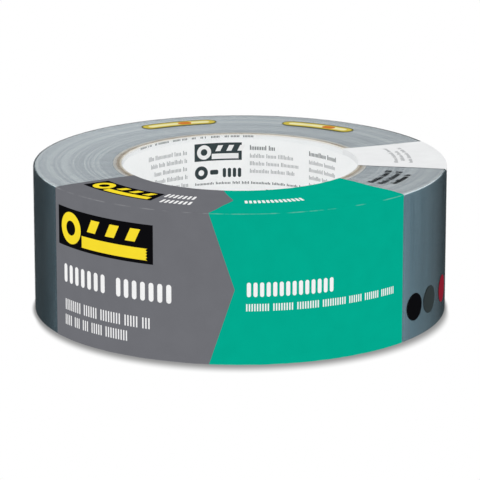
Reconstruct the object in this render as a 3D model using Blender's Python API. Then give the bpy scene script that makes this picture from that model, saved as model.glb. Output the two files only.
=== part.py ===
"""Roll of duct tape on a spiral-wound board core, held in a printed shrink sleeve.

The roll lies on its side wall's lower flat face. The origin is the centre of that face, on the
core's axis, and +Z runs up the axis. Azimuth 0 points along -Y and grows towards +X. All sizes
are in metres.
"""

import math

import bmesh
import bpy

MM = 0.001

# The tape: 48 mm wide and 54.8 m long, wound on a 3 inch core.
TAPE_WIDTH = 48.0 * MM
TAPE_THICKNESS = 0.16 * MM
CORE_BORE_RADIUS = 38.1 * MM
ROLL_RADIUS = 66.7 * MM

# The core's plies, from the bore outwards.
LINER_THICKNESS = 0.15 * MM
BOARD_THICKNESS = 0.42 * MM
BOARD_PLIES = 5
BUTT_JOINT_WIDTH = 0.3 * MM

# The shrink sleeve. Its folds are concentric with the edges that they wrap.
FILM_THICKNESS = 0.06 * MM
RIM_RADIUS = 1.0 * MM
LIP_INTO_BORE = 2.0 * MM
RIM_ARC_STEPS = 3
FOLD_ARC_STEPS = 1

# The gap between neighbouring pieces.
GAP = 0.1 * MM

# Every ring has its corners at the same azimuths, so that neighbours' flats stay parallel.
SEGMENTS = 72
SEAM_SPAN_SEGMENTS = 31
LINER_START_SEGMENT = 57
BOARD_START_SEGMENT = 12
BOARD_STAGGER_SEGMENTS = 17
FREE_END_SEGMENT = 28

FILM_STANDOFF = FILM_THICKNESS + GAP
ROLL_HEIGHT = TAPE_WIDTH + 2 * FILM_STANDOFF
TAPE_BOTTOM = FILM_STANDOFF
TAPE_TOP = FILM_STANDOFF + TAPE_WIDTH


def clear_scene():
    for obj in list(bpy.data.objects):
        bpy.data.objects.remove(obj, do_unlink=True)


def make_material(name, colour, roughness):
    material = bpy.data.materials.new(name)
    material.use_nodes = True
    shader = material.node_tree.nodes["Principled BSDF"]
    shader.inputs["Base Color"].default_value = (*colour, 1.0)
    shader.inputs["Roughness"].default_value = roughness
    shader.inputs["Metallic"].default_value = 0.0
    material.diffuse_color = (*colour, 1.0)
    return material


def at(segment, radius, z):
    """The point on a ring of this radius, at one of the shared azimuths."""
    azimuth = math.tau * segment / SEGMENTS
    return (radius * math.sin(azimuth), -radius * math.cos(azimuth), z)


def arc(centre_r, centre_z, radius, start_deg, steps):
    """(r, z) points along a quarter circle, counted anticlockwise, both ends included."""
    points = []
    for step in range(steps + 1):
        angle = math.radians(start_deg + 90.0 * step / steps)
        points.append((centre_r + radius * math.cos(angle), centre_z + radius * math.sin(angle)))
    return points


def add_object(name, bm, material):
    """Turns a bmesh into a smooth-shaded object with its faces pointing out."""
    bmesh.ops.recalc_face_normals(bm, faces=bm.faces)
    mesh = bpy.data.meshes.new(name)
    bm.to_mesh(mesh)
    bm.free()
    mesh.materials.append(material)
    mesh.shade_smooth()
    mesh.set_sharp_from_angle(angle=math.radians(40.0))
    obj = bpy.data.objects.new(name, mesh)
    bpy.context.scene.collection.objects.link(obj)
    return obj


def turn_profile(name, profile, material):
    """Turns a closed (r, z) outline about the Z axis."""
    bm = bmesh.new()
    corners = [bm.verts.new(at(0, r, z)) for r, z in profile]
    edges = [bm.edges.new((corners[i - 1], corners[i])) for i in range(len(corners))]
    bmesh.ops.spin(
        bm,
        geom=corners + edges,
        cent=(0.0, 0.0, 0.0),
        axis=(0.0, 0.0, 1.0),
        angle=math.tau,
        steps=SEGMENTS,
        use_merge=True,
    )
    return add_object(name, bm, material)


def film_path(depth):
    """The sleeve's line at this depth under its outer surface, from the lower lip to the upper."""
    fold_radius = FILM_STANDOFF - depth
    rim_radius = RIM_RADIUS - depth
    rim_centre_r = ROLL_RADIUS - RIM_RADIUS
    lower = [(CORE_BORE_RADIUS - fold_radius, LIP_INTO_BORE)]
    lower += arc(CORE_BORE_RADIUS, TAPE_BOTTOM, fold_radius, 180.0, FOLD_ARC_STEPS)
    lower += arc(rim_centre_r, RIM_RADIUS, rim_radius, 270.0, RIM_ARC_STEPS)
    upper = [(r, ROLL_HEIGHT - z) for r, z in reversed(lower)]
    return lower + upper


def make_sleeve(material):
    outer = film_path(0.0)
    inner = film_path(FILM_THICKNESS)
    return turn_profile("shrink_sleeve", outer + inner[::-1], material)


def wound_outline(outer_radius):
    """The winding's outside line, from its lower face to its upper one, with crushed edges."""
    edge_radius = RIM_RADIUS - FILM_STANDOFF
    centre_r = outer_radius - edge_radius
    lower = arc(centre_r, TAPE_BOTTOM + edge_radius, edge_radius, 270.0, RIM_ARC_STEPS)
    upper = arc(centre_r, TAPE_TOP - edge_radius, edge_radius, 0.0, RIM_ARC_STEPS)
    return lower + upper


def make_tape_winding(material, inner_radius, outer_radius):
    """The wound strip: its outside is one turn of a spiral, which steps at the free end."""
    bm = bmesh.new()
    outsides, insides = [], []
    for step in range(SEGMENTS + 1):
        segment = FREE_END_SEGMENT + step
        radius = outer_radius - TAPE_THICKNESS * step / SEGMENTS
        outsides.append([bm.verts.new(at(segment, r, z)) for r, z in wound_outline(radius)])
        if step < SEGMENTS:
            insides.append([bm.verts.new(at(segment, inner_radius, z)) for z in (TAPE_BOTTOM, TAPE_TOP)])
    insides.append(insides[0])
    under_end = outsides[-1]
    for step in range(SEGMENTS):
        here, there = outsides[step], outsides[step + 1]
        for low in range(len(here) - 1):
            bm.faces.new((here[low], there[low], there[low + 1], here[low + 1]))
        (low_here, top_here), (low_there, top_there) = insides[step], insides[step + 1]
        bm.faces.new((low_there, low_here, top_here, top_there))
        # The first turn's flat faces also touch the corners that lie under the free end.
        shared_low = [under_end[0]] if step == 0 else []
        shared_top = [under_end[-1]] if step == 0 else []
        bm.faces.new([low_here, low_there, there[0], here[0], *shared_low])
        bm.faces.new([top_there, top_here, *shared_top, here[-1], there[-1]])
    bm.faces.new([*outsides[0], *reversed(under_end)])
    return add_object("tape_winding", bm, material)


def make_ply(name, inner_radius, thickness, start_segment, material):
    """A strip wound helically: at each azimuth it lies between two passes of its own butt joint."""
    rise = (TAPE_WIDTH - BUTT_JOINT_WIDTH) / SEAM_SPAN_SEGMENTS
    last = SEGMENTS + SEAM_SPAN_SEGMENTS
    bm = bmesh.new()
    columns = []
    for step in range(last + 1):
        high = TAPE_BOTTOM + min(TAPE_WIDTH, rise * step)
        low = TAPE_BOTTOM + max(0.0, rise * (step - SEGMENTS) + BUTT_JOINT_WIDTH)
        levels = [low] if step in (0, last) else [low, high]
        columns.append(
            [
                [bm.verts.new(at(start_segment + step, radius, z)) for z in levels]
                for radius in (inner_radius, inner_radius + thickness)
            ]
        )
    for (inner_a, outer_a), (inner_b, outer_b) in zip(columns, columns[1:]):
        inner_wall = inner_a + inner_b[::-1]
        outer_wall = outer_a + outer_b[::-1]
        bm.faces.new(inner_wall)
        bm.faces.new(outer_wall)
        bm.faces.new((inner_a[0], inner_b[0], outer_b[0], outer_a[0]))
        bm.faces.new((inner_a[-1], inner_b[-1], outer_b[-1], outer_a[-1]))
    return add_object(name, bm, material)


def make_core(paper, board):
    """Makes the liner and the board plies, and returns the core's outer radius."""
    make_ply("core_liner", CORE_BORE_RADIUS, LINER_THICKNESS, LINER_START_SEGMENT, paper)
    radius = CORE_BORE_RADIUS + LINER_THICKNESS
    for number in range(1, BOARD_PLIES + 1):
        start = (BOARD_START_SEGMENT + number * BOARD_STAGGER_SEGMENTS) % SEGMENTS
        radius += GAP
        make_ply(f"core_ply_{number}", radius, BOARD_THICKNESS, start, board)
        radius += BOARD_THICKNESS
    return radius


def main():
    clear_scene()
    film = make_material("printed_film", (0.42, 0.47, 0.50), 0.3)
    tape = make_material("silver_tape", (0.25, 0.29, 0.31), 0.5)
    paper = make_material("white_paper", (0.83, 0.85, 0.85), 0.85)
    board = make_material("kraft_board", (0.45, 0.31, 0.18), 0.9)
    core_radius = make_core(paper, board)
    make_tape_winding(tape, core_radius + GAP, ROLL_RADIUS - FILM_STANDOFF)
    make_sleeve(film)


main()
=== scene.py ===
import math
import random

import bmesh
import bpy
import numpy as np
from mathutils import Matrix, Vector


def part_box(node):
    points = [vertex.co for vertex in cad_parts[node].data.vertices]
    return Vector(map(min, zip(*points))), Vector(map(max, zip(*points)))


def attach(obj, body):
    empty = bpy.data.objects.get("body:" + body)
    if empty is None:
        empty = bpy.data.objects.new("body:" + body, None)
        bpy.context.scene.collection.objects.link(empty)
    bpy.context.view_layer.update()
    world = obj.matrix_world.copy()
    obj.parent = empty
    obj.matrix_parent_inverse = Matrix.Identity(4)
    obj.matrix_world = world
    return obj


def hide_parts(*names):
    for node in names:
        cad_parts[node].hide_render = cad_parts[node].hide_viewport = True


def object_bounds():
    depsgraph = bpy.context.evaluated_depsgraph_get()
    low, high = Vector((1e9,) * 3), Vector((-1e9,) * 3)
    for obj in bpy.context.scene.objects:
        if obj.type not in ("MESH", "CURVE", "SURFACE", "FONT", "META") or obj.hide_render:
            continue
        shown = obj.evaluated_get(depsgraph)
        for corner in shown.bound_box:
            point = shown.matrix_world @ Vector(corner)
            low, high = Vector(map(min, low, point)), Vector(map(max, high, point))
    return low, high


# Looks of the duct tape roll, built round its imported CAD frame. Sizes are in metres, azimuth 0
# points along -Y and grows towards +X. Printed words are replaced by rows of plain bars and
# strokes, and marks by a pictogram of a tape roll and plain dots, so no print can be read.

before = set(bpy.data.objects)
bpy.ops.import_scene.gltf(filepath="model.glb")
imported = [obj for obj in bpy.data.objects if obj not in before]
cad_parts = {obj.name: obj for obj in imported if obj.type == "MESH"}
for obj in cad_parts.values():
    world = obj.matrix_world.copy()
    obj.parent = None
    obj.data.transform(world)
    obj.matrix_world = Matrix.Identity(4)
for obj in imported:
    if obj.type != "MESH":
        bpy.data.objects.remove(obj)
cad_low, cad_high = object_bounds()

MM = 0.001
BODY = "root"
SEED = 7


def radii(node):
    """Smallest and largest distance of a CAD node's corners from the roll's axis."""
    reach = [math.hypot(v.co.x, v.co.y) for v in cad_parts[node].data.vertices]
    return min(reach), max(reach)


ROLL_RADIUS = radii("shrink_sleeve")[1]
ROLL_HEIGHT = cad_high.z
CORE_BORE = radii("core_liner")[0]
TAPE_INSIDE, TAPE_OUTSIDE = radii("tape_winding")
TAPE_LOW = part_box("tape_winding")[0].z
TAPE_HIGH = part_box("tape_winding")[1].z
MID_HEIGHT = ROLL_HEIGHT / 2

# ---------------------------------------------------------------- camera, lights and floor

CAMERA_ELEVATION = math.radians(15.13)
CAMERA_DISTANCE = 1.0902
CAMERA_LENS = 252.3
CAMERA_AIM_DROP = 2.1 * MM
CAMERA_CLIP = 0.05, 20.0

# The area light behind the roll. Its azimuth and elevation are in degrees.
BACK_LIGHT_AZIMUTH = -143.0
BACK_LIGHT_ELEVATION = 24.0
BACK_LIGHT_DISTANCE = 0.26
BACK_LIGHT_SIZE = 0.24, 0.08
BACK_LIGHT_POWER = 0.62


def add_camera():
    """Looks at a point just under the roll's centre, along +Y and down."""
    data = bpy.data.cameras.new("camera")
    data.lens = CAMERA_LENS
    data.clip_start, data.clip_end = CAMERA_CLIP
    camera = bpy.data.objects.new("camera", data)
    bpy.context.scene.collection.objects.link(camera)
    up = Vector((0.0, math.sin(CAMERA_ELEVATION), math.cos(CAMERA_ELEVATION)))
    back = Vector((0.0, -math.cos(CAMERA_ELEVATION), math.sin(CAMERA_ELEVATION)))
    centre = Vector((0.0, 0.0, MID_HEIGHT))
    camera.location = centre - up * CAMERA_AIM_DROP + back * CAMERA_DISTANCE
    camera.rotation_euler = (math.pi / 2 - CAMERA_ELEVATION, 0.0, 0.0)
    bpy.context.scene.camera = camera


def add_back_light(lit):
    """An area light behind the roll that lights one piece only."""
    data = bpy.data.lights.new("back_softbox", "AREA")
    data.shape = "RECTANGLE"
    data.size, data.size_y = BACK_LIGHT_SIZE
    data.energy = BACK_LIGHT_POWER
    light = bpy.data.objects.new("back_softbox", data)
    bpy.context.scene.collection.objects.link(light)
    turn, tilt = math.radians(BACK_LIGHT_AZIMUTH), math.radians(BACK_LIGHT_ELEVATION)
    away = Vector(
        (math.sin(turn) * math.cos(tilt), -math.cos(turn) * math.cos(tilt), math.sin(tilt))
    )
    light.location = Vector((0.0, 0.0, MID_HEIGHT)) + away * BACK_LIGHT_DISTANCE
    light.rotation_mode = "QUATERNION"
    light.rotation_quaternion = (-away).to_track_quat("-Z", "Y")
    light.visible_glossy = False
    receivers = bpy.data.collections.new("back_softbox_receivers")
    receivers.objects.link(lit)
    light.light_linking.receiver_collection = receivers


# ---------------------------------------------------------------- material nodes


class Graph:
    """A material's node tree, with one short call for each kind of node."""

    def __init__(self, name):
        self.material = bpy.data.materials.new(name)
        self.material.use_nodes = True
        self.tree = self.material.node_tree
        self.tree.nodes.clear()
        self.output = self.add("ShaderNodeOutputMaterial")

    def add(self, kind, **settings):
        node = self.tree.nodes.new(kind)
        for key, value in settings.items():
            setattr(node, key, value)
        return node

    def set(self, socket, value):
        """Links a socket to a node's output, or gives it a plain value."""
        if isinstance(value, bpy.types.NodeSocket):
            self.tree.links.new(value, socket)
        elif socket.type == "RGBA" and len(value) == 3:
            socket.default_value = (*value, 1.0)
        else:
            socket.default_value = value

    def place(self):
        return self.add("ShaderNodeTexCoord").outputs["Object"]

    def skin(self):
        return self.add("ShaderNodeUVMap", uv_map="skin").outputs["UV"]

    def split(self, vector):
        node = self.add("ShaderNodeSeparateXYZ")
        self.set(node.inputs[0], vector)
        return node.outputs

    def join(self, x, y, z=0.0):
        node = self.add("ShaderNodeCombineXYZ")
        for socket, value in zip(node.inputs, (x, y, z)):
            self.set(socket, value)
        return node.outputs[0]

    def stretch(self, vector, scale):
        node = self.add("ShaderNodeMapping")
        self.set(node.inputs["Vector"], vector)
        self.set(node.inputs["Scale"], scale)
        return node.outputs[0]

    def math(self, operation, a, b=0.0, clamp=False):
        node = self.add("ShaderNodeMath", operation=operation, use_clamp=clamp)
        self.set(node.inputs[0], a)
        self.set(node.inputs[1], b)
        return node.outputs[0]

    def wave(self, value, pitch):
        """A ripple from 0 to 1 that repeats every pitch metres."""
        phase = self.math("MULTIPLY", value, math.tau / pitch)
        return self.span(self.math("SINE", phase), -1.0, 1.0)

    def span(self, value, low, high, to_low=0.0, to_high=1.0, kind="LINEAR"):
        node = self.add("ShaderNodeMapRange", interpolation_type=kind)
        self.set(node.inputs["Value"], value)
        limits = {"From Min": low, "From Max": high, "To Min": to_low, "To Max": to_high}
        for key, number in limits.items():
            node.inputs[key].default_value = number
        return node.outputs[0]

    def noise(self, vector, size, detail=2.0, rough=0.5):
        """Noise from about 0.3 to 0.7, whose blotches are this many metres across."""
        node = self.add("ShaderNodeTexNoise")
        self.set(node.inputs["Vector"], vector)
        node.inputs["Scale"].default_value = 1.0 / size
        node.inputs["Detail"].default_value = detail
        node.inputs["Roughness"].default_value = rough
        return node.outputs["Fac"]

    def mix(self, factor, a, b):
        node = self.add("ShaderNodeMix", data_type="RGBA")
        self.set(node.inputs["Factor"], factor)
        self.set(node.inputs["A"], a)
        self.set(node.inputs["B"], b)
        return node.outputs["Result"]

    def pulse(self, value, middle, half_width):
        """1 at the middle, falling to 0 this far from it."""
        off = self.math("ABSOLUTE", self.math("SUBTRACT", value, middle))
        return self.span(off, 0.0, half_width, 1.0, 0.0)

    def bump(self, height, distance, strength=1.0, under=None):
        node = self.add("ShaderNodeBump")
        self.set(node.inputs["Height"], height)
        node.inputs["Distance"].default_value = distance
        node.inputs["Strength"].default_value = strength
        if under is not None:
            self.set(node.inputs["Normal"], under)
        return node.outputs[0]

    def principled(self, **sockets):
        node = self.add("ShaderNodeBsdfPrincipled")
        for key, value in sockets.items():
            self.set(node.inputs[key.replace("_", " ")], value)
        self.set(self.output.inputs["Surface"], node.outputs[0])
        return self.material


def shade(colour, factor):
    return tuple(channel * factor for channel in colour)


def radius_of(graph):
    """Distance from the roll's axis, for rings on its flat faces."""
    x, y, _ = graph.split(graph.place())
    squares = graph.math("ADD", graph.math("POWER", x, 2.0), graph.math("POWER", y, 2.0))
    return graph.math("SQRT", squares)


def ink(name, colour, roughness=0.5, rim_highlight=0.0):
    """Flexo ink on film: flat, with a faint mottle, and a painted highlight: a fine pale line where
    it turns a rim.
    """
    graph = Graph(name)
    place = graph.place()
    mottle = graph.span(graph.noise(place, 6 * MM, 3.0), 0.3, 0.7)
    grain = graph.noise(place, 0.35 * MM, 1.0)
    tone = graph.mix(mottle, shade(colour, 0.975), shade(colour, 1.025))
    if rim_highlight:
        # Painted highlight: a fine pale dashed line along the bend of the rim.
        _, _, z = graph.split(place)
        from_middle = graph.math("ABSOLUTE", graph.math("SUBTRACT", z, MID_HEIGHT))
        line = graph.pulse(from_middle, HALF_WALL + 0.72 * RIM, 0.16 * MM)
        outside = graph.span(radius_of(graph), ROLL_RADIUS - 1.2 * MM, ROLL_RADIUS - 0.8 * MM)
        flecks = graph.noise(graph.stretch(place, (1.0, 1.0, 0.1)), 5 * MM, 4.0)
        dashes = graph.span(flecks, 0.44, 0.62)
        line = graph.math("MULTIPLY", graph.math("MULTIPLY", line, outside), dashes, clamp=True)
        pale = tuple(channel + rim_highlight * (0.8 - channel) for channel in colour)
        tone = graph.mix(line, tone, pale)
    return graph.principled(
        Base_Color=tone,
        Roughness=graph.span(mottle, 0.0, 1.0, roughness - 0.06, roughness + 0.06),
        Specular_IOR_Level=0.0,
        Normal=graph.bump(grain, 0.006 * MM),
    )


def clear_film():
    """Shrink film: clear, a little milky where pulled, and shiniest at grazing angles."""
    graph = Graph("clear_film")
    place = graph.place()
    pulled = graph.noise(graph.stretch(place, (1.0, 1.0, 0.25)), 4 * MM, 3.0)
    fine = graph.noise(place, 0.9 * MM, 2.0)
    relief = graph.bump(pulled, 0.05 * MM)
    relief = graph.bump(fine, 0.004 * MM, under=relief)
    shine = graph.add("ShaderNodeBsdfGlossy")
    shine.inputs["Roughness"].default_value = 0.16
    graph.set(shine.inputs["Normal"], relief)
    haze = graph.add("ShaderNodeBsdfDiffuse")
    haze.inputs["Color"].default_value = (0.86, 0.88, 0.9, 1.0)
    clear = graph.add("ShaderNodeBsdfTransparent")
    clear.inputs["Color"].default_value = (0.995, 0.997, 0.998, 1.0)
    facing = graph.add("ShaderNodeLayerWeight")
    facing.inputs["Blend"].default_value = 0.5
    graph.set(facing.inputs["Normal"], relief)
    grazing = graph.math("POWER", facing.outputs["Facing"], 5.0)
    milky = graph.add("ShaderNodeMixShader")
    graph.set(milky.inputs[0], graph.span(pulled, 0.35, 0.75, 0.0, 0.008))
    graph.set(milky.inputs[1], clear.outputs[0])
    graph.set(milky.inputs[2], haze.outputs[0])
    both = graph.add("ShaderNodeMixShader")
    graph.set(both.inputs[0], graph.span(grazing, 0.0, 1.0, 0.015, 0.5))
    graph.set(both.inputs[1], milky.outputs[0])
    graph.set(both.inputs[2], shine.outputs[0])
    graph.set(graph.output.inputs["Surface"], both.outputs[0])
    return graph.material


WARP_PITCH = 1.25 * MM
WEFT_PITCH = 1.7 * MM


def cloth_backing():
    """The tape's silver polyethylene face, with the cloth scrim telegraphing through it."""
    graph = Graph("cloth_backed_silver")
    along, across, _ = graph.split(graph.skin())
    wander = graph.math("MULTIPLY", graph.noise(graph.skin(), 7 * MM), 0.9 * MM)
    warp = graph.wave(graph.math("ADD", across, wander), WARP_PITCH)
    weft = graph.wave(graph.math("ADD", along, wander), WEFT_PITCH)
    threads = graph.math("MAXIMUM", graph.math("POWER", warp, 3.0), graph.math("POWER", weft, 4.0))
    streaks = graph.noise(graph.stretch(graph.skin(), (1.0, 0.05, 1.0)), 3.2 * MM, 4.0)
    silver = graph.mix(graph.span(streaks, 0.35, 0.65), (0.16, 0.213, 0.24), (0.205, 0.267, 0.297))
    silver = graph.mix(graph.math("MULTIPLY", threads, 0.26), silver, (0.27, 0.34, 0.37))
    # Paler over the crushed bends at both rims: a painted highlight.
    from_middle = graph.math("ABSOLUTE", graph.math("SUBTRACT", across, MID_HEIGHT))
    cut = TAPE_HIGH - MID_HEIGHT
    rim_highlight_mask = graph.span(from_middle, cut - 0.6 * MM, cut - 0.1 * MM)
    silver = graph.mix(graph.math("MULTIPLY", rim_highlight_mask, 0.6), silver, (0.46, 0.52, 0.54))
    relief = graph.bump(threads, 0.025 * MM)
    relief = graph.bump(streaks, 0.04 * MM, under=relief)
    return graph.principled(
        Base_Color=silver,
        Metallic=0.92,
        Roughness=graph.span(threads, 0.0, 1.0, 0.21, 0.27),
        Normal=relief,
    )


def wound_edges():
    """The cut edges of some 160 turns: pale silver, in fine rings of film, cloth and adhesive."""
    graph = Graph("wound_tape_edges")
    place = graph.place()
    out = radius_of(graph)
    wander = graph.math("MULTIPLY", graph.noise(place, 20 * MM), 0.8 * MM)
    turns = graph.wave(graph.math("ADD", out, wander), 0.157 * MM)
    groups = graph.noise(graph.join(out, 0.43 * MM, 0.29 * MM), 1.0 * MM, 3.0, 0.7)
    patches = graph.noise(place, 16 * MM, 2.0)
    bands = graph.noise(graph.join(out, 0.37), 5.5 * MM, 1.0)
    lint = graph.noise(place, 0.5 * MM, 2.0)
    dark, pale = (0.285, 0.32, 0.342), (0.44, 0.478, 0.495)
    tone = graph.mix(graph.span(groups, 0.42, 0.58), dark, pale)
    tone = graph.mix(graph.span(patches, 0.35, 0.6, 0.0, 0.4), tone, (0.36, 0.392, 0.411))
    tone = graph.mix(graph.span(bands, 0.38, 0.62, 0.0, 0.25), tone, (0.30, 0.335, 0.354))
    tone = graph.mix(graph.math("MULTIPLY", turns, 0.1), tone, (0.23, 0.26, 0.28))
    tone = graph.mix(graph.span(lint, 0.6, 0.75, 0.0, 0.3), tone, (0.5, 0.54, 0.55))
    relief = graph.bump(groups, 0.05 * MM)
    relief = graph.bump(turns, 0.02 * MM, under=relief)
    return graph.principled(
        Base_Color=tone, Roughness=0.6, Specular_IOR_Level=0.25, Normal=relief
    )


def liner_paper():
    """Coated white paper, with faint fibres and a little soiling at its cut edges."""
    graph = Graph("white_liner_paper")
    place = graph.place()
    _, _, z = graph.split(place)
    fibres = graph.noise(graph.stretch(place, (1.0, 1.0, 0.35)), 0.6 * MM, 4.0, 0.6)
    cloud = graph.noise(place, 9 * MM, 3.0)
    from_middle = graph.math("ABSOLUTE", graph.math("SUBTRACT", z, MID_HEIGHT))
    edge = graph.span(from_middle, MID_HEIGHT - 0.9 * MM, MID_HEIGHT - 0.2 * MM, 0.0, 0.6)
    tone = graph.mix(graph.span(cloud, 0.35, 0.65), (0.95, 0.96, 0.96), (0.975, 0.98, 0.98))
    tone = graph.mix(graph.span(fibres, 0.5, 0.72, 0.0, 0.2), tone, (0.8, 0.82, 0.82))
    tone = graph.mix(edge, tone, (0.78, 0.74, 0.68))
    relief = graph.bump(fibres, 0.015 * MM)
    return graph.principled(Base_Color=tone, Roughness=0.7, Specular_IOR_Level=0.3, Normal=relief)


def kraft_board(name, light, dark):
    """Recycled board: flecked, with long fibres and a fuzzy cut edge."""
    graph = Graph(name)
    place = graph.place()
    fibres = graph.noise(graph.stretch(place, (1.0, 1.0, 3.0)), 0.8 * MM, 5.0, 0.65)
    clouds = graph.noise(place, 14 * MM, 2.0)
    flecks = graph.noise(place, 0.45 * MM, 2.0)
    share = graph.math("MULTIPLY", graph.math("ADD", fibres, clouds), 0.5)
    tone = graph.mix(graph.span(share, 0.4, 0.6), dark, light)
    tone = graph.mix(graph.span(flecks, 0.62, 0.7, 0.0, 0.4), tone, shade(dark, 0.45))
    relief = graph.bump(fibres, 0.08 * MM)
    return graph.principled(Base_Color=tone, Roughness=0.9, Specular_IOR_Level=0.2, Normal=relief)


# How far the floor's shadow reaches from the roll: furthest in front, and further right than left.
SHADOW_REACH_LEAST = 1.3 * MM
SHADOW_REACH_IN_FRONT = 8.2 * MM
SHADOW_REACH_TO_RIGHT = 0.7 * MM
SHADOW_DEPTH = 0.32


def floor_surface():
    """A white sweep, with the roll's soft shadow painted on it for the camera only."""
    graph = Graph("white_floor")
    place = graph.place()
    x, y, _ = graph.split(place)
    out = radius_of(graph)
    forwards = graph.math("MULTIPLY", graph.math("DIVIDE", y, out), -SHADOW_REACH_IN_FRONT)
    to_right = graph.math("MULTIPLY", graph.math("DIVIDE", x, out), SHADOW_REACH_TO_RIGHT)
    reach = graph.math("MAXIMUM", graph.math("ADD", forwards, to_right), SHADOW_REACH_LEAST)
    share = graph.math("DIVIDE", graph.math("SUBTRACT", out, ROLL_RADIUS), reach)
    around = graph.span(share, -0.1, 1.05, SHADOW_DEPTH, 1.0, kind="SMOOTHSTEP")
    in_bore = graph.span(out, 0.3 * CORE_BORE, CORE_BORE, 0.82, SHADOW_DEPTH, kind="SMOOTHSTEP")
    light = graph.math("MAXIMUM", around, in_bore)
    path = graph.add("ShaderNodeLightPath")
    unseen = graph.math("SUBTRACT", 1.0, path.outputs["Is Camera Ray"])
    glow = graph.add("ShaderNodeEmission")
    glow.inputs["Color"].default_value = (1.0, 1.0, 1.0, 1.0)
    graph.set(glow.inputs["Strength"], graph.math("MAXIMUM", light, unseen))
    graph.set(graph.output.inputs["Surface"], glow.outputs[0])
    return graph.material


def add_floor():
    bpy.ops.mesh.primitive_plane_add(size=12.0, location=(0.0, 0.0, -0.02 * MM))
    floor = bpy.context.object
    floor.name = "studio_floor"
    floor.data.materials.append(floor_surface())
    floor.visible_glossy = False


# What shines sees dim walls, darkest behind the roll, under a bright ceiling.
LOW_WALL = 0.70
LOW_WALL_TO_BACK = -0.80
LOW_WALL_TO_RIGHT = 0.11
CEILING = 1.8
CEILING_FROM = 0.28
CEILING_TO = 0.38
ROOM_TINT = (0.78, 1.04, 1.16, 1.0)


def add_world():
    """A white studio: even light on matt surfaces, and a darker room in what shines."""
    world = bpy.data.worlds.new("studio")
    world.use_nodes = True
    nodes, links = world.node_tree.nodes, world.node_tree.links
    background = nodes["Background"]

    def calculate(operation, *values):
        node = nodes.new("ShaderNodeMath")
        node.operation = operation
        for socket, value in zip(node.inputs, values):
            if isinstance(value, bpy.types.NodeSocket):
                links.new(value, socket)
            else:
                socket.default_value = value
        return node.outputs[0]

    direction = nodes.new("ShaderNodeSeparateXYZ")
    links.new(nodes.new("ShaderNodeTexCoord").outputs["Generated"], direction.inputs[0])
    to_right, to_back, upwards = direction.outputs
    walls = calculate("MULTIPLY_ADD", to_back, LOW_WALL_TO_BACK, LOW_WALL)
    walls = calculate("MULTIPLY_ADD", to_right, LOW_WALL_TO_RIGHT, walls)
    walls = calculate("MAXIMUM", walls, 0.05)
    height = calculate("SUBTRACT", upwards, CEILING_FROM)
    height = calculate("DIVIDE", height, CEILING_TO - CEILING_FROM)
    height = calculate("MAXIMUM", calculate("MINIMUM", height, 1.0), 0.0)
    shine = calculate("MULTIPLY_ADD", height, calculate("SUBTRACT", CEILING, walls), walls)
    glossy = nodes.new("ShaderNodeLightPath").outputs["Is Glossy Ray"]
    strength = calculate("MULTIPLY_ADD", glossy, calculate("SUBTRACT", shine, 1.0), 1.0)
    links.new(strength, background.inputs["Strength"])
    tint = nodes.new("ShaderNodeMix")
    tint.data_type = "RGBA"
    low_share = calculate("MULTIPLY", glossy, calculate("SUBTRACT", 1.0, height))
    links.new(low_share, tint.inputs["Factor"])
    tint.inputs["A"].default_value = (1.0, 1.0, 1.0, 1.0)
    tint.inputs["B"].default_value = ROOM_TINT
    links.new(tint.outputs["Result"], background.inputs["Color"])
    bpy.context.scene.world = world


# ---------------------------------------------------------------- meshes


def add_piece(name, points, faces, material, slot, replaces=(), skin=None):
    """Makes a piece that rides on the roll, smooth but for its edges, facing out."""
    mesh = bpy.data.meshes.new(name)
    mesh.from_pydata(np.asarray(points, float).reshape(-1, 3).tolist(), [], faces)
    bm = bmesh.new()
    bm.from_mesh(mesh)
    bmesh.ops.recalc_face_normals(bm, faces=bm.faces)
    if skin is not None:
        layer = bm.loops.layers.uv.new("skin")
        flat = np.asarray(skin, float).reshape(-1, 2)
        for face in bm.faces:
            for loop in face.loops:
                loop[layer].uv = flat[loop.vert.index]
    bm.to_mesh(mesh)
    bm.free()
    mesh.materials.append(material)
    mesh.shade_smooth()
    mesh.set_sharp_from_angle(angle=math.radians(35.0))
    piece = bpy.data.objects.new(name, mesh)
    bpy.context.scene.collection.objects.link(piece)
    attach(piece, BODY)
    if replaces:
        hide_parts(*replaces)
    return piece


def quads(rows, columns, first=0, wrap_rows=False, wrap_columns=False):
    """Faces of a grid of points that are stored row by row."""
    faces = []
    for row in range(rows if wrap_rows else rows - 1):
        above = (row + 1) % rows
        for column in range(columns if wrap_columns else columns - 1):
            beside = (column + 1) % columns
            corners = (row, column), (row, beside), (above, beside), (above, column)
            faces.append([first + r * columns + c for r, c in corners])
    return faces


def add_sheet(name, outer, inner, material, slot, wrap=False, **extra):
    """A closed thin solid between two grids of points, which goes right round if wrap is set."""
    rows, columns = outer.shape[:2]
    count = rows * columns
    faces = quads(rows, columns, 0, wrap_columns=wrap)
    faces += quads(rows, columns, count, wrap_columns=wrap)
    for row in (0, rows - 1):
        for column in range(columns if wrap else columns - 1):
            here, beside = row * columns + column, row * columns + (column + 1) % columns
            faces.append([here, beside, count + beside, count + here])
    if not wrap:
        for column in (0, columns - 1):
            for row in range(rows - 1):
                here, above = row * columns + column, (row + 1) * columns + column
                faces.append([here, above, count + above, count + here])
    return add_piece(name, np.stack([outer, inner]), faces, material, slot, **extra)


def on_cylinder(azimuth, radius, z):
    x, y = radius * np.sin(azimuth), -radius * np.cos(azimuth)
    return np.stack([x, y, z + 0.0 * azimuth], axis=-1)


# ---------------------------------------------------------------- the sleeve's surface

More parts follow.
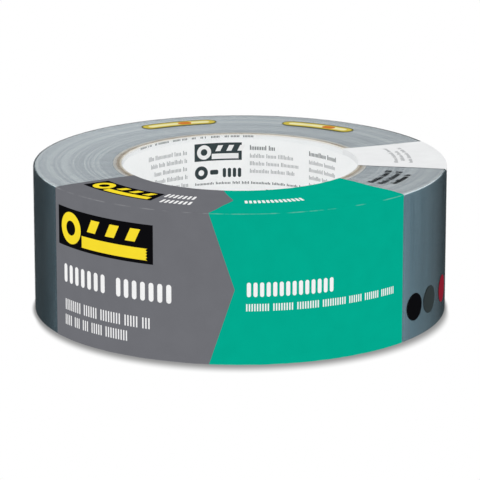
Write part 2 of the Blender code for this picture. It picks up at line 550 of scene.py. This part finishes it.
# The film's line across the roll is measured from the middle of the outer wall: up over the rim,
# across the flat face and down the lip in the bore. Negative lengths go the same way underneath.
FILM_INSET = 0.1 * MM
FILM_THICKNESS = 0.04 * MM
RIM = 0.6 * MM
FOLD = 0.24 * MM
LIP = 1.7 * MM
WALL_RADIUS = ROLL_RADIUS - FILM_INSET
RIM_CENTRE = WALL_RADIUS - RIM
LIP_RADIUS = CORE_BORE - 0.06 * MM
HALF_WALL = MID_HEIGHT - FILM_INSET - RIM
TO_FLAT = HALF_WALL + RIM * math.pi / 2
FLAT = RIM_CENTRE - LIP_RADIUS - FOLD
TO_FOLD = TO_FLAT + FLAT
TO_LIP = TO_FOLD + FOLD * math.pi / 2


def film_section(line):
    """(radius, height, outward part of the normal, upward part) of points along the film's line."""
    reach, side = np.abs(line), np.sign(line)
    rim = np.clip((reach - HALF_WALL) / RIM, 0.0, math.pi / 2)
    fold = np.clip((reach - TO_FOLD) / FOLD, 0.0, math.pi / 2)
    across = np.clip(reach - TO_FLAT, 0.0, FLAT)
    down = np.maximum(reach - TO_LIP, 0.0)
    radius = RIM_CENTRE + RIM * np.cos(rim) - across - FOLD * np.sin(fold)
    height = np.minimum(reach, HALF_WALL) + RIM * np.sin(rim) - FOLD * (1 - np.cos(fold)) - down
    turn = rim + fold
    return radius, MID_HEIGHT + side * height, np.cos(turn), side * np.sin(turn)


def ripples(seed, terms, waves, drift):
    """A function of (azimuth, line): a sum of cosines, about 1 in size, closed round the roll."""
    rng = random.Random(seed)
    parts = [
        (
            rng.randint(*waves),
            rng.uniform(-drift, drift),
            rng.uniform(0, math.tau),
            rng.uniform(0.5, 1.0),
        )
        for _ in range(terms)
    ]
    size = math.sqrt(sum(weight * weight for *_, weight in parts))

    def height(azimuth, line):
        cosines = (w * np.cos(n * azimuth + k * line / MM + phase) for n, k, phase, w in parts)
        return sum(cosines) / size

    return height


def smooth(value, low, high):
    share = np.clip((value - low) / (high - low), 0.0, 1.0)
    return share * share * (3 - 2 * share)


pleats = ripples(SEED + 1, 9, (22, 70), 0.05)
swells = ripples(SEED + 2, 5, (2, 8), 0.12)
puckers = ripples(SEED + 3, 8, (50, 95), 0.5)
pulls = ripples(SEED + 4, 7, (14, 44), 0.03)
lip_wave = ripples(SEED + 5, 5, (3, 17), 0.0)

SEAM_AZIMUTH = math.radians(121.0)
SEAM_HALF_WIDTH = math.radians(1.9)
SEAM_STEP = 0.02 * MM


def film_relief(azimuth, line):
    """How far the film stands off its even surface: pleats near the bore, puckers at the rim."""
    reach = np.abs(line)
    towards_bore = smooth(reach, TO_FLAT + 0.35 * FLAT, TO_FOLD)
    on_face = smooth(reach, TO_FLAT, TO_FLAT + 3 * MM)
    past_rim = smooth(reach, TO_FLAT + 1 * MM, TO_FLAT + 5 * MM)
    at_rim = smooth(reach, HALF_WALL - 1 * MM, TO_FLAT) * (1 - past_rim)
    on_wall = 1 - smooth(reach, HALF_WALL - 3 * MM, HALF_WALL)
    relief = 0.014 * MM * towards_bore * pleats(azimuth, line)
    relief = relief + 0.008 * MM * on_face * swells(azimuth, line)
    relief = relief + 0.006 * MM * at_rim * puckers(azimuth, line)
    relief = relief + SEAM_STEP * (np.abs(azimuth - SEAM_AZIMUTH) < SEAM_HALF_WIDTH)
    return relief + 0.004 * MM * on_wall * pulls(azimuth, line)


def on_film(azimuth, line, lift=0.0):
    """Points of the film, lifted along its normal."""
    radius, height, outward, upward = film_section(line)
    off = film_relief(azimuth, line) + lift
    return on_cylinder(azimuth, radius + outward * off, height + upward * off)


def film_lines():
    """Where the film's rows lie, from the lower lip to the upper: close together where it bends."""
    half = [
        *np.linspace(0.0, HALF_WALL, 17)[:-1],
        *np.linspace(HALF_WALL, TO_FLAT, 7)[:-1],
        *np.linspace(TO_FLAT, TO_FOLD, 23)[:-1],
        *np.linspace(TO_FOLD, TO_LIP, 4)[:-1],
        TO_LIP,
    ]
    return np.array([-line for line in half[:0:-1]] + half)


def film_grid(azimuths):
    """(azimuth, line) grids over the film, whose ends in the bore are cut a little unevenly."""
    lines = film_lines()
    azimuth = np.asarray(azimuths, float)
    if azimuth.ndim == 1:
        azimuth = np.tile(azimuth, (len(lines), 1))
    line = np.repeat(lines[:, None], azimuth.shape[1], axis=1)
    upper_end = LIP * (1 + 0.16 * lip_wave(azimuth[-1], 0.0))
    lower_end = LIP * (1 + 0.16 * lip_wave(azimuth[0] + 2.0, 0.0))
    tail = np.linspace(0.0, 1.0, 4)[1:, None]
    line = np.concatenate([(-TO_LIP - lower_end * tail)[::-1], line, TO_LIP + upper_end * tail])
    azimuth = np.concatenate([np.repeat(azimuth[:1], 3, 0), azimuth, np.repeat(azimuth[-1:], 3, 0)])
    return azimuth, line


FILM_COLUMNS = 480


def add_film(material):
    azimuth, line = film_grid(np.arange(FILM_COLUMNS) * math.tau / FILM_COLUMNS)
    outer = on_film(azimuth, line)
    inner = on_film(azimuth, line, -FILM_THICKNESS)
    extra = {"wrap": True, "replaces": ["shrink_sleeve"]}
    add_sheet("sleeve_clear_film", outer, inner, material, "printed_film", **extra)


# ---------------------------------------------------------------- printed areas

# Azimuths are in degrees. Heights on the wall are measured from the base, and places on a flat face
# by their radius.
INK = 0.012 * MM
FIRST_INK = 0.004 * MM
SECOND_INK = FIRST_INK + INK + 0.003 * MM
THIRD_INK = SECOND_INK + INK + 0.003 * MM
FOURTH_INK = THIRD_INK + INK + 0.003 * MM


def along_film(radius):
    return TO_FLAT + RIM_CENTRE - radius


def edge_line(stops):
    """Azimuth of a printed edge, from its (line, azimuth) stops."""
    lines = np.array([line for line, _ in stops])
    azimuths = np.radians([azimuth for _, azimuth in stops])
    return lambda line: np.interp(line, lines, azimuths)


def both_ways(stops):
    """The same stops on the lower half too, with the wall's middle as their mirror."""
    return [(-line, azimuth) for line, azimuth in stops[::-1] if line > 0] + stops


LABEL_LEFT = both_ways(
    [
        (0.0, -60.0),
        (HALF_WALL, -60.0),
        (along_film(61.3 * MM), -60.6),
        (along_film(52.0 * MM), -61.2),
        (TO_LIP, -61.4),
    ]
)
CHEVRON = both_ways(
    [
        (0.0, -1.4),
        (MID_HEIGHT, -8.3),
        (along_film(62.5 * MM), -7.0),
        (along_film(57.4 * MM), -5.5),
        (along_film(50.4 * MM), -2.2),
        (along_film(38.3 * MM), -7.6),
    ]
)
LABEL_RIGHT = both_ways(
    [
        (0.0, 49.6),
        (HALF_WALL, 49.6),
        (along_film(64.8 * MM), 50.1),
        (along_film(60.2 * MM), 51.1),
        (along_film(51.3 * MM), 51.8),
        (along_film(45.2 * MM), 53.5),
        (TO_LIP, 55.0),
    ]
)
PANEL_LEFT = [
    (HALF_WALL, 81.2),
    (along_film(58.0 * MM), 81.8),
    (along_film(45.0 * MM), 82.0),
    (TO_LIP, 82.6),
]
PANEL_RIGHT = [
    (HALF_WALL, 115.0),
    (along_film(53.0 * MM), 115.4),
    (along_film(44.0 * MM), 116.4),
    (TO_LIP, 117.8),
]


def add_band(name, left, right, material, slot, pitch=1.0 * MM, upper_only=False):
    """A printed area that runs over the film between two edges."""
    lines = film_lines()
    left_edge, right_edge = edge_line(left)(lines), edge_line(right)(lines)
    columns = int(np.max(right_edge - left_edge) * ROLL_RADIUS / pitch) + 2
    share = np.linspace(0.0, 1.0, columns)
    azimuth = left_edge[:, None] + (right_edge - left_edge)[:, None] * share
    azimuth, line = film_grid(azimuth)
    if upper_only:
        kept = line[:, 0] > HALF_WALL - 0.4 * MM
        azimuth, line = azimuth[kept], line[kept]
    outer = on_film(azimuth, line, FIRST_INK + INK)
    inner = on_film(azimuth, line, FIRST_INK)
    add_sheet(name, outer, inner, material, slot)


def wall_chart(u, v, lift):
    """The outer wall: u runs round it to the right, v is the height above the base."""
    return on_film(u / ROLL_RADIUS, v - MID_HEIGHT, lift)


def face_chart(side):
    """A flat face, side 1 the upper one: u runs round it at TEXT_RADIUS, v from the rim inwards."""
    return lambda u, v, lift: on_film(side * u / TEXT_RADIUS, side * (TO_FLAT + v), lift)


def liner_chart(u, v, lift):
    """The bore's wall, read from inside: u runs to the right, v is the height above the base."""
    return on_cylinder(-u / CORE_BORE, CORE_BORE - lift, v)


TEXT_RADIUS = 54.0 * MM


def block(u0, v0, u1, v1, corner=0.0, steps=3):
    """A rectangle as one outline, with its corners rounded if asked."""
    if not corner:
        return [(u0, v0), (u1, v0), (u1, v1), (u0, v1)]
    outline = []
    left, right, low, high = u0 + corner, u1 - corner, v0 + corner, v1 - corner
    centres = (right, low), (right, high), (left, high), (left, low)
    for quarter, (cu, cv) in enumerate(centres):
        for step in range(steps + 1):
            angle = math.pi / 2 * (quarter - 1 + step / steps)
            outline.append((cu + corner * math.cos(angle), cv + corner * math.sin(angle)))
    return outline


def disc(u, v, radius, steps=32):
    angles = [math.tau / steps * number for number in range(steps)]
    return [(u + radius * math.cos(angle), v + radius * math.sin(angle)) for angle in angles]


def ring(u, v, outer, inner, steps=36):
    """A ring as a row of four-sided outlines."""
    rim, hole = disc(u, v, outer, steps), disc(u, v, inner, steps)
    return [[hole[i - 1], rim[i - 1], rim[i], hole[i]] for i in range(steps)]


def add_print(name, shapes, chart, lift, material, pitch=1.0 * MM):
    """Lays flat outlines on a curved surface as ink, cut into strips so that they follow it."""
    bm = bmesh.new()
    for outline in shapes:
        bm.faces.new([bm.verts.new((u, v, 0.0)) for u, v in outline])
    bmesh.ops.remove_doubles(bm, verts=bm.verts, dist=0.001 * MM)
    for axis in (0, 1):
        places = [vert.co[axis] for vert in bm.verts]
        normal = (1.0, 0.0, 0.0) if axis == 0 else (0.0, 1.0, 0.0)
        first = math.floor(min(places) / pitch) + 1
        for number in range(first, math.ceil(max(places) / pitch)):
            point = [component * number * pitch for component in normal]
            geometry = bm.verts[:] + bm.edges[:] + bm.faces[:]
            bmesh.ops.bisect_plane(bm, geom=geometry, plane_co=point, plane_no=normal, dist=1e-7)
    raised = bmesh.ops.extrude_face_region(bm, geom=bm.faces[:])["geom"]
    for element in raised:
        if isinstance(element, bmesh.types.BMVert):
            element.co.z = 1.0
    bm.verts.index_update()
    flat = np.array([vert.co for vert in bm.verts])
    faces = [[vert.index for vert in face.verts] for face in bm.faces]
    bm.free()
    points = chart(flat[:, 0], flat[:, 1], lift + INK * flat[:, 2])
    add_piece(name, points, faces, material, "label_print")


# ---------------------------------------------------------------- print that can't be read


def text_line(rng, u0, u1, base, height, word=(5, 14), pitch=0.36, ink_share=0.52, flat=False):
    """Groups of upright strokes: a row that has the weight of text and says nothing."""
    shapes, u = [], u0
    step = height * pitch
    while True:
        for number in range(rng.randint(*word)):
            if u + step * ink_share > u1:
                return shapes
            tall = flat or number == 0 or rng.random() < 0.22
            top = base + height * (1.0 if tall else 0.72)
            shapes.append(block(u, base, u + step * ink_share, top))
            u += step
        u += step * 1.1


def headline(u0, u1, base, height, groups, ink_share=0.56):
    """A row of upright bars with round ends, all of one height, in groups of so many bars."""
    slots = sum(groups) + SPACE_SLOTS * (len(groups) - 1)
    step = (u1 - u0) / (slots - 1 + ink_share)
    width = step * ink_share
    shapes, u = [], u0
    for bars in groups:
        for _ in range(bars):
            shapes.append(block(u, base, u + width, base + height, 0.49 * width, 4))
            u += step
        u += SPACE_SLOTS * step
    return shapes


def text_column(rng, u0, u1, top, pitch, height, lines, align_right=False):
    shapes = []
    for number in range(lines):
        short = (u1 - u0) * rng.uniform(0.0, 0.3)
        start, end = (u0 + short, u1) if align_right else (u0, u1 - short)
        shapes += text_line(rng, start, end, top - pitch * (number + 1), height)
    return shapes


def roll_pictogram(u0, v0, width, height):
    """A tape roll seen from its flat side, with a strip pulled from it that ends in a torn edge."""
    outer = 0.41 * height
    cu, cv = u0 + 0.56 * height, v0 + 0.5 * height
    shapes = ring(cu, cv, outer, 0.19 * height)
    low, high = cv - outer, cv - outer + 0.3 * height
    end = u0 + width - 0.16 * height
    clear = cu + math.sqrt(outer**2 - (cv - high) ** 2) + 0.05 * height
    teeth = 4
    tooth = (high - low) / teeth
    torn = [(end, low)]
    for number in range(teeth):
        torn.append((end - 0.6 * tooth, low + tooth * (number + 0.5)))
        torn.append((end, low + tooth * (number + 1)))
    shapes.append([(clear, low), *torn, (clear, high)])
    dash, slant = 0.13 * height, 0.16 * height
    for number in range(3):
        left = clear + 0.2 * height + number * 0.62 * height
        foot, head = high + 0.14 * height, v0 + 0.86 * height
        right = left + 2.2 * dash
        shapes.append([(left, foot), (right, foot), (right + slant, head), (left + slant, head)])
    return shapes


SPACE_SLOTS = 1.1

# Bars of one height, so that a headline follows no word's letters.
TITLE_BARS = 7
USE_BARS = 14


def arc_mm(azimuth, radius=None):
    return math.radians(azimuth) * (ROLL_RADIUS if radius is None else radius)


def add_wall_print(inks):
    rng = random.Random(SEED + 20)

    def lay(what, shapes, colour, lift=SECOND_INK):
        add_print(f"wall_{what}", shapes, wall_chart, lift, inks[colour])

    left, right = arc_mm(-58.3), arc_mm(-23.55)
    low, high = 30.6 * MM, 43.1 * MM
    lay("black_box", [block(left, low, right, high)], "black")
    marks = roll_pictogram(left, low, right - left, high - low)
    lay("yellow_pictogram", marks, "yellow", THIRD_INK)
    groups = [TITLE_BARS, TITLE_BARS]
    title = headline(arc_mm(-55.6), arc_mm(-18.4), 18.8 * MM, 6.0 * MM, groups)
    lay("title_blocks", title, "white")
    look = (3, 9), 0.3, 0.45, True
    sizes = text_line(rng, arc_mm(-55.2), arc_mm(-24.4), 9.9 * MM, 3.5 * MM, *look)
    sizes += text_line(rng, arc_mm(-55.3), arc_mm(-31.2), 5.0 * MM, 3.3 * MM, *look)
    lay("size_blocks", sizes, "white")
    use = headline(arc_mm(1.8), arc_mm(25.5), 21.9 * MM, 4.6 * MM, [USE_BARS], 0.62)
    lay("use_blocks", use, "white")
    look = (4, 14), 0.36, 0.5, True
    claim = text_line(rng, arc_mm(1.6), arc_mm(47.0), 17.4 * MM, 2.3 * MM, *look)
    lay("claim_blocks", claim, "white")
    dots = {"black": 55.6, "dark_gray": 64.4, "red": 76.0}
    for colour, azimuth in dots.items():
        dot = disc(arc_mm(azimuth), 10.4 * MM, 4.4 * MM)
        lay(f"control_dot_{colour}", [dot], colour)
    add_barcode_panel(lay, rng)


BARCODE_AZIMUTH = -158.0


def add_barcode_panel(lay, rng):
    """The retail panel on the side away from the label: bars and lines of blocks on white."""
    middle, half = arc_mm(BARCODE_AZIMUTH), 17.0 * MM
    left, right = middle - half, middle + half
    lay("retail_panel", [block(left, 7.0 * MM, right, 41.0 * MM, 1.2 * MM)], "panel", FIRST_INK)
    bars, u = [], left + 3.5 * MM
    while u < right - 4.0 * MM:
        width = rng.choice((0.33, 0.33, 0.66, 0.99)) * MM
        bars.append(block(u, 20.0 * MM, u + width, 37.5 * MM))
        u += width + rng.choice((0.33, 0.66, 0.66, 0.99)) * MM
    bars += text_line(rng, left + 5 * MM, right - 5 * MM, 16.6 * MM, 2.2 * MM, (9, 12))
    for margin, base in ((3, 13.2), (5, 11.2), (9, 9.2)):
        bars += text_line(rng, left + 3 * MM, right - margin * MM, base * MM, 1.2 * MM)
    lay("retail_bars", bars, "black")


def face_u(azimuth):
    return arc_mm(azimuth, TEXT_RADIUS)


def face_v(radius):
    return RIM_CENTRE - radius * MM


CAPSULE_LAYERS = (
    ("_edge", 25.2, 6.4, FIRST_INK, "olive"),
    ("", 24.2, 4.8, SECOND_INK, "gold"),
    ("_field", 20.6, 2.6, THIRD_INK, "cream"),
)


def capsule(u, v, width, height):
    corner = height / 2 - 0.01 * MM
    return block(u - width / 2, v - height / 2, u + width / 2, v + height / 2, corner, 6)


def add_face_print(side, inks):
    """Print on a flat face; the lower one reads the other way round, as it is seen from below."""
    rng = random.Random(SEED + 40 + side)
    where = "top" if side > 0 else "base"
    chart = face_chart(side)

    def lay(what, shapes, lift, colour):
        add_print(f"{where}_{what}", shapes, chart, lift, inks[colour])

    def u(azimuth):
        return face_u(azimuth * side)

    def ordered(a, b):
        return min(u(a), u(b)), max(u(a), u(b))

    left, right = ordered(-58.4, -28.6)
    lay("black_box", [block(left, face_v(57.6), right, face_v(48.6))], SECOND_INK, "black")
    marks = roll_pictogram(left, face_v(57.6), right - left, 9.0 * MM)
    lay("yellow_pictogram", marks, THIRD_INK, "yellow")
    left, right = ordered(-27.2, -16.0)
    lines = headline(left, right, face_v(51.8), 3.9 * MM, [TITLE_BARS])
    left, right = ordered(-25.5, -15.4)
    lines += headline(left, right, face_v(58.0), 3.7 * MM, [TITLE_BARS])
    lay("title_blocks", lines, SECOND_INK, "white")
    left, right = ordered(1.6, 21.6)
    use = headline(left, right, face_v(54.2), 3.4 * MM, [USE_BARS], 0.66)
    lay("use_blocks", use, SECOND_INK, "white")
    small = []
    for radius, first, last in ((50.2, 56.0, 76.0), (53.7, 56.4, 75.0), (57.2, 59.0, 72.3)):
        left, right = ordered(first, last)
        small += text_line(rng, left, right, face_v(radius), 2.1 * MM, (5, 12), 0.42, 0.62)
    lay("black_blocks", small, SECOND_INK, "black")
    small = []
    for radius, first, last in ((50.9, 88.0, 110.0), (53.2, 91.0, 105.6), (55.6, 88.2, 110.0)):
        left, right = ordered(first, last)
        small += text_line(rng, left, right, face_v(radius), 1.3 * MM, (5, 12), 0.5, 0.55)
    lay("gray_blocks", small, SECOND_INK, "text_gray")
    for number, (azimuth, radius, off) in enumerate(((-158.6, 57.2, 2.2), (152.0, 56.4, 3.6))):
        centre, middle = u(azimuth), face_v(radius)
        for part, width, height, lift, colour in CAPSULE_LAYERS:
            shape = capsule(centre, middle, width * MM, height * MM)
            lay(f"capsule_{number}{part}", [shape], lift, colour)
        knot = [capsule(centre - side * off * MM, middle, 4.4 * MM, 3.4 * MM)]
        lay(f"capsule_{number}_dot", knot, FOURTH_INK, "orange")


LINER_TURNS = 2
LINER_ROWS = 4
LINER_ROW_PITCH = 16.0 * MM
LINER_ROW_SHIFT = 36.5  # degrees round the bore for each row
LINER_PITCH = 1.5 * MM


def liner_u(azimuth):
    return -arc_mm(azimuth, CORE_BORE)


def add_liner_print(inks):
    """The liner's printed pattern, which repeats round the bore and climbs it in a helix."""
    rng = random.Random(SEED + 60)
    dark, gray, knocked_out = [], [], []
    for turn in range(LINER_TURNS):
        for row in range(2 - LINER_ROWS, 2):
            du = turn * math.pi * CORE_BORE + row * liner_u(LINER_ROW_SHIFT)
            dv = row * LINER_ROW_PITCH

            def shift(shapes):
                return [[(u + du, v + dv) for u, v in outline] for outline in shapes]

            def column(first, last, top, pitch, height, *look):
                ends = liner_u(first), liner_u(last)
                return text_column(rng, *ends, top * MM, pitch * MM, height * MM, *look)

            def line(first, last, base, height, **look):
                return text_line(rng, liner_u(first), liner_u(last), base * MM, height * MM, **look)

            left, right = liner_u(-156.6), liner_u(-180.9)
            box = shift([block(left, 39.4 * MM, right, 45.4 * MM)])
            if inside_liner(box[0]):
                dark += box
                knocked_out += shift(roll_pictogram(left, 39.4 * MM, right - left, 6.0 * MM))
            dark += shift(ring(liner_u(-160.2), 35.4 * MM, 2.3 * MM, 1.0 * MM, 24))
            bar = block(liner_u(-164.8), 34.6 * MM, liner_u(-169.0), 36.2 * MM, 0.5 * MM)
            dark += shift([bar])
            bars = headline(liner_u(-171.3), liner_u(-180.6), 33.5 * MM, 3.2 * MM, [4], 0.66)
            dark += shift(bars)
            gray += shift(column(-127.5, -153.0, 44.9, 2.75, 1.5, 5, True))
            dark += shift(line(-185.0, -198.0, 42.9, 1.6))
            gray += shift(column(-185.0, -211.5, 42.8, 2.6, 1.4, 3))
            dark += shift(line(-217.0, -236.0, 42.6, 1.6))
            gray += shift(column(-217.0, -240.0, 42.4, 2.6, 1.4, 4))
            dark += shift(line(-157.0, -223.5, 31.2, 0.85, pitch=0.6))
    dark = [outline for outline in dark if inside_liner(outline)]
    gray = [outline for outline in gray if inside_liner(outline)]
    for name, shapes, lift, colour in (
        ("dark_print", dark, 0.006, "liner_dark"),
        ("gray_print", gray, 0.006, "liner_gray"),
        ("pictograms", knocked_out, 0.02, "white"),
    ):
        add_print(f"liner_{name}", shapes, liner_chart, lift * MM, inks[colour], LINER_PITCH)


def inside_liner(outline):
    heights = [v for _, v in outline]
    return min(heights) > TAPE_LOW + 0.4 * MM and max(heights) < TAPE_HIGH - 0.3 * MM


# ---------------------------------------------------------------- tape and core


WINDING_RINGS = 96
WINDING_COLUMNS = 360
WINDING_EDGE = 0.5 * MM
WINDING_EDGE_ROWS = 5
RING_DEPTH = 0.05 * MM


def add_wound_tape(material):
    """The winding: turns that stand a little proud of each other make rings on both flat faces."""
    rng = random.Random(SEED + 80)
    inside, outside = TAPE_INSIDE + 0.01 * MM, TAPE_OUTSIDE - 0.36 * MM
    depth, depths = 0.0, []
    for _ in range(WINDING_RINGS):
        depth = 0.8 * depth + rng.uniform(-1.0, 1.0)
        depths.append(depth)
    depths = np.array(depths) / max(map(abs, depths))
    azimuth = np.arange(WINDING_COLUMNS) * math.tau / WINDING_COLUMNS
    share = np.linspace(0.0, 1.0, WINDING_RINGS)
    bend = np.linspace(0.0, math.pi / 2, WINDING_EDGE_ROWS + 1)[1:]
    weave = ripples(SEED + 81, 4, (1, 5), 0.4)

    def face_rows(level, side):
        """Rows from the bore outwards over the rings, and then round the crushed edge."""
        rows = []
        for index in range(WINDING_RINGS):
            radius = inside + (outside - WINDING_EDGE - inside) * share[index]
            sink = RING_DEPTH * (1 + depths[index] * (1 + 0.25 * weave(azimuth, radius)))
            rows.append(on_cylinder(azimuth, radius, level - side * sink))
        for angle in bend:
            radius = outside - WINDING_EDGE + WINDING_EDGE * math.sin(angle)
            sink = RING_DEPTH + WINDING_EDGE * (1 - math.cos(angle))
            rows.append(on_cylinder(azimuth, radius, level - side * sink))
        return rows

    rows = face_rows(TAPE_LOW + 0.02 * MM, -1) + face_rows(TAPE_HIGH - 0.02 * MM, 1)[::-1]
    faces = quads(len(rows), WINDING_COLUMNS, 0, wrap_rows=True, wrap_columns=True)
    grid, replaced = np.stack(rows), ["tape_winding"]
    return add_piece("tape_wound_turns", grid, faces, material, "silver_tape", replaces=replaced)


FREE_END_AZIMUTH = 140.0
TAPE_THICKNESS = 0.157 * MM
CRUSH_RADIUS = 0.5 * MM
CRUSH_ANGLE = math.radians(72.0)


def add_last_turn(material):
    """The outermost turn of the strip: edges crushed over the rims, and a slanted cut end."""
    columns, rows, bends = 420, 34, 7
    outside = TAPE_OUTSIDE - 0.03 * MM
    share = np.linspace(0.0, 1.0, columns)
    bend = np.linspace(0.0, CRUSH_ANGLE, bends)
    low_bend = TAPE_LOW + 0.02 * MM + CRUSH_RADIUS
    high_bend = TAPE_HIGH - 0.02 * MM - CRUSH_RADIUS
    height = np.concatenate(
        [
            (low_bend - CRUSH_RADIUS * np.sin(bend))[:0:-1],
            np.linspace(low_bend, high_bend, rows),
            (high_bend + CRUSH_RADIUS * np.sin(bend))[1:],
        ]
    )
    turned_in = CRUSH_RADIUS * (1 - np.cos(bend))
    fall = np.concatenate([turned_in[:0:-1], np.zeros(rows), turned_in[1:]])
    slant = np.radians(0.5) * (height - height[0]) / (height[-1] - height[0])
    azimuth = np.radians(FREE_END_AZIMUTH) - math.tau * (1 - share)[None, :] + slant[:, None]
    top = outside - TAPE_THICKNESS * (1 - share)[None, :] - fall[:, None]
    thread = ripples(SEED + 90, 6, (60, 110), 0.0)
    weave = 0.005 * MM * np.cos(math.tau * height / WARP_PITCH)[:, None]
    weave = weave + 0.003 * MM * thread(azimuth, 0.0)
    z = np.repeat(height[:, None], columns, axis=1)
    outer = on_cylinder(azimuth, top + weave - 0.006 * MM, z)
    inner = on_cylinder(azimuth, top - TAPE_THICKNESS * 0.95, z)
    skin = np.stack([azimuth * ROLL_RADIUS, z], axis=-1)
    add_sheet("tape_last_turn", outer, inner, material, "silver_tape", skin=np.stack([skin, skin]))


PLY_COLUMNS = 420
PLY_JOINT = 0.12 * MM
PLY_SEAM_TURN = math.radians(155.0)

# As in the CAD, in which every ring has its corners at the same azimuths.
SEGMENTS = 72
LINER_START_SEGMENT = 57
BOARD_START_SEGMENT = 12
BOARD_STAGGER_SEGMENTS = 17


def add_ply(name, node, start, material, slot):
    """A core ply: a strip wound helically, whose edges meet in a slanting butt joint."""
    inner_radius, outer_radius = radii(node)
    low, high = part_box(node)[0].z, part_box(node)[1].z
    turned = np.linspace(0.0, math.tau + PLY_SEAM_TURN, PLY_COLUMNS)
    rise = (high - low - PLY_JOINT) / PLY_SEAM_TURN
    top = np.minimum(high, low + 0.02 * MM + rise * turned)
    bottom = np.maximum(low, low + PLY_JOINT + rise * (turned - math.tau))
    bottom = np.minimum(bottom, top - 0.02 * MM)
    levels = np.linspace(0.0, 1.0, 5)[:, None]
    azimuth = np.tile(start + turned, (5, 1))
    z = bottom + (top - bottom) * levels
    fuzz = ripples(SEED + hash_of(name), 6, (30, 140), 0.0)
    z[-1] -= 0.03 * MM * np.abs(fuzz(azimuth[-1], 0.0)) * (top >= high)
    outer = on_cylinder(azimuth, outer_radius, z)
    inner = on_cylinder(azimuth, inner_radius, z)
    add_sheet(name, outer, inner, material, slot, replaces=[node])


def hash_of(name):
    return sum(map(ord, name))


# (light, dark) of each board ply, from the bore outwards: the two inner ones are bleached.
BOARD_TONES = [
    ((0.84, 0.78, 0.66), (0.72, 0.65, 0.52)),
    ((0.52, 0.45, 0.36), (0.36, 0.29, 0.21)),
    ((0.55, 0.48, 0.39), (0.40, 0.33, 0.25)),
    ((0.68, 0.66, 0.61), (0.55, 0.52, 0.46)),
    ((0.74, 0.73, 0.70), (0.62, 0.60, 0.56)),
]


def add_core():
    step = math.tau / SEGMENTS
    start = LINER_START_SEGMENT * step
    add_ply("core_liner_paper", "core_liner", start, liner_paper(), "white_paper")
    for number, (light, dark) in enumerate(BOARD_TONES, 1):
        board = kraft_board(f"kraft_board_{number}", light, dark)
        start = ((BOARD_START_SEGMENT + BOARD_STAGGER_SEGMENTS * number) % SEGMENTS) * step
        add_ply(f"core_board_{number}", f"core_ply_{number}", start, board, "kraft_board")


# ---------------------------------------------------------------- the roll


def make_inks():
    return {
        "gray": ink("ink_gray", (0.158, 0.161, 0.177), rim_highlight=0.2),
        "teal": ink("ink_teal", (0.0008, 0.395, 0.272), rim_highlight=0.2),
        "white": ink("ink_white", (0.9, 0.9, 0.9)),
        "panel": ink("ink_panel_white", (0.83, 0.84, 0.845), 0.4),
        "black": ink("ink_black", (0.004, 0.004, 0.005), 0.4),
        "dark_gray": ink("ink_dark_gray", (0.032, 0.042, 0.043), 0.4),
        "text_gray": ink("ink_text_gray", (0.36, 0.37, 0.38)),
        "yellow": ink("ink_yellow", (0.93, 0.72, 0.03)),
        "olive": ink("ink_olive", (0.17, 0.165, 0.05)),
        "gold": ink("ink_gold", (0.60, 0.48, 0.08)),
        "cream": ink("ink_cream", (0.80, 0.76, 0.42)),
        "orange": ink("ink_orange", (0.62, 0.2, 0.04)),
        "red": ink("ink_red", (0.24, 0.013, 0.027)),
        "liner_dark": ink("ink_liner_dark", (0.045, 0.062, 0.066), 0.6),
        "liner_gray": ink("ink_liner_gray", (0.38, 0.39, 0.4), 0.6),
    }


def add_label(inks):
    add_band("label_gray_area", LABEL_LEFT, CHEVRON, inks["gray"], "label_gray")
    add_band("label_teal_area", CHEVRON, LABEL_RIGHT, inks["teal"], "label_teal")
    edges = PANEL_LEFT, PANEL_RIGHT
    add_band("label_white_panel", *edges, inks["panel"], "label_print", upper_only=True)


def main():
    bpy.context.scene.view_settings.view_transform = "Standard"
    add_camera()
    add_world()
    add_floor()
    inks = make_inks()
    add_core()
    winding = add_wound_tape(wound_edges())
    add_back_light(winding)
    add_last_turn(cloth_backing())
    add_film(clear_film())
    add_label(inks)
    add_wall_print(inks)
    for side in (1, -1):
        add_face_print(side, inks)
    add_liner_print(inks)


main()
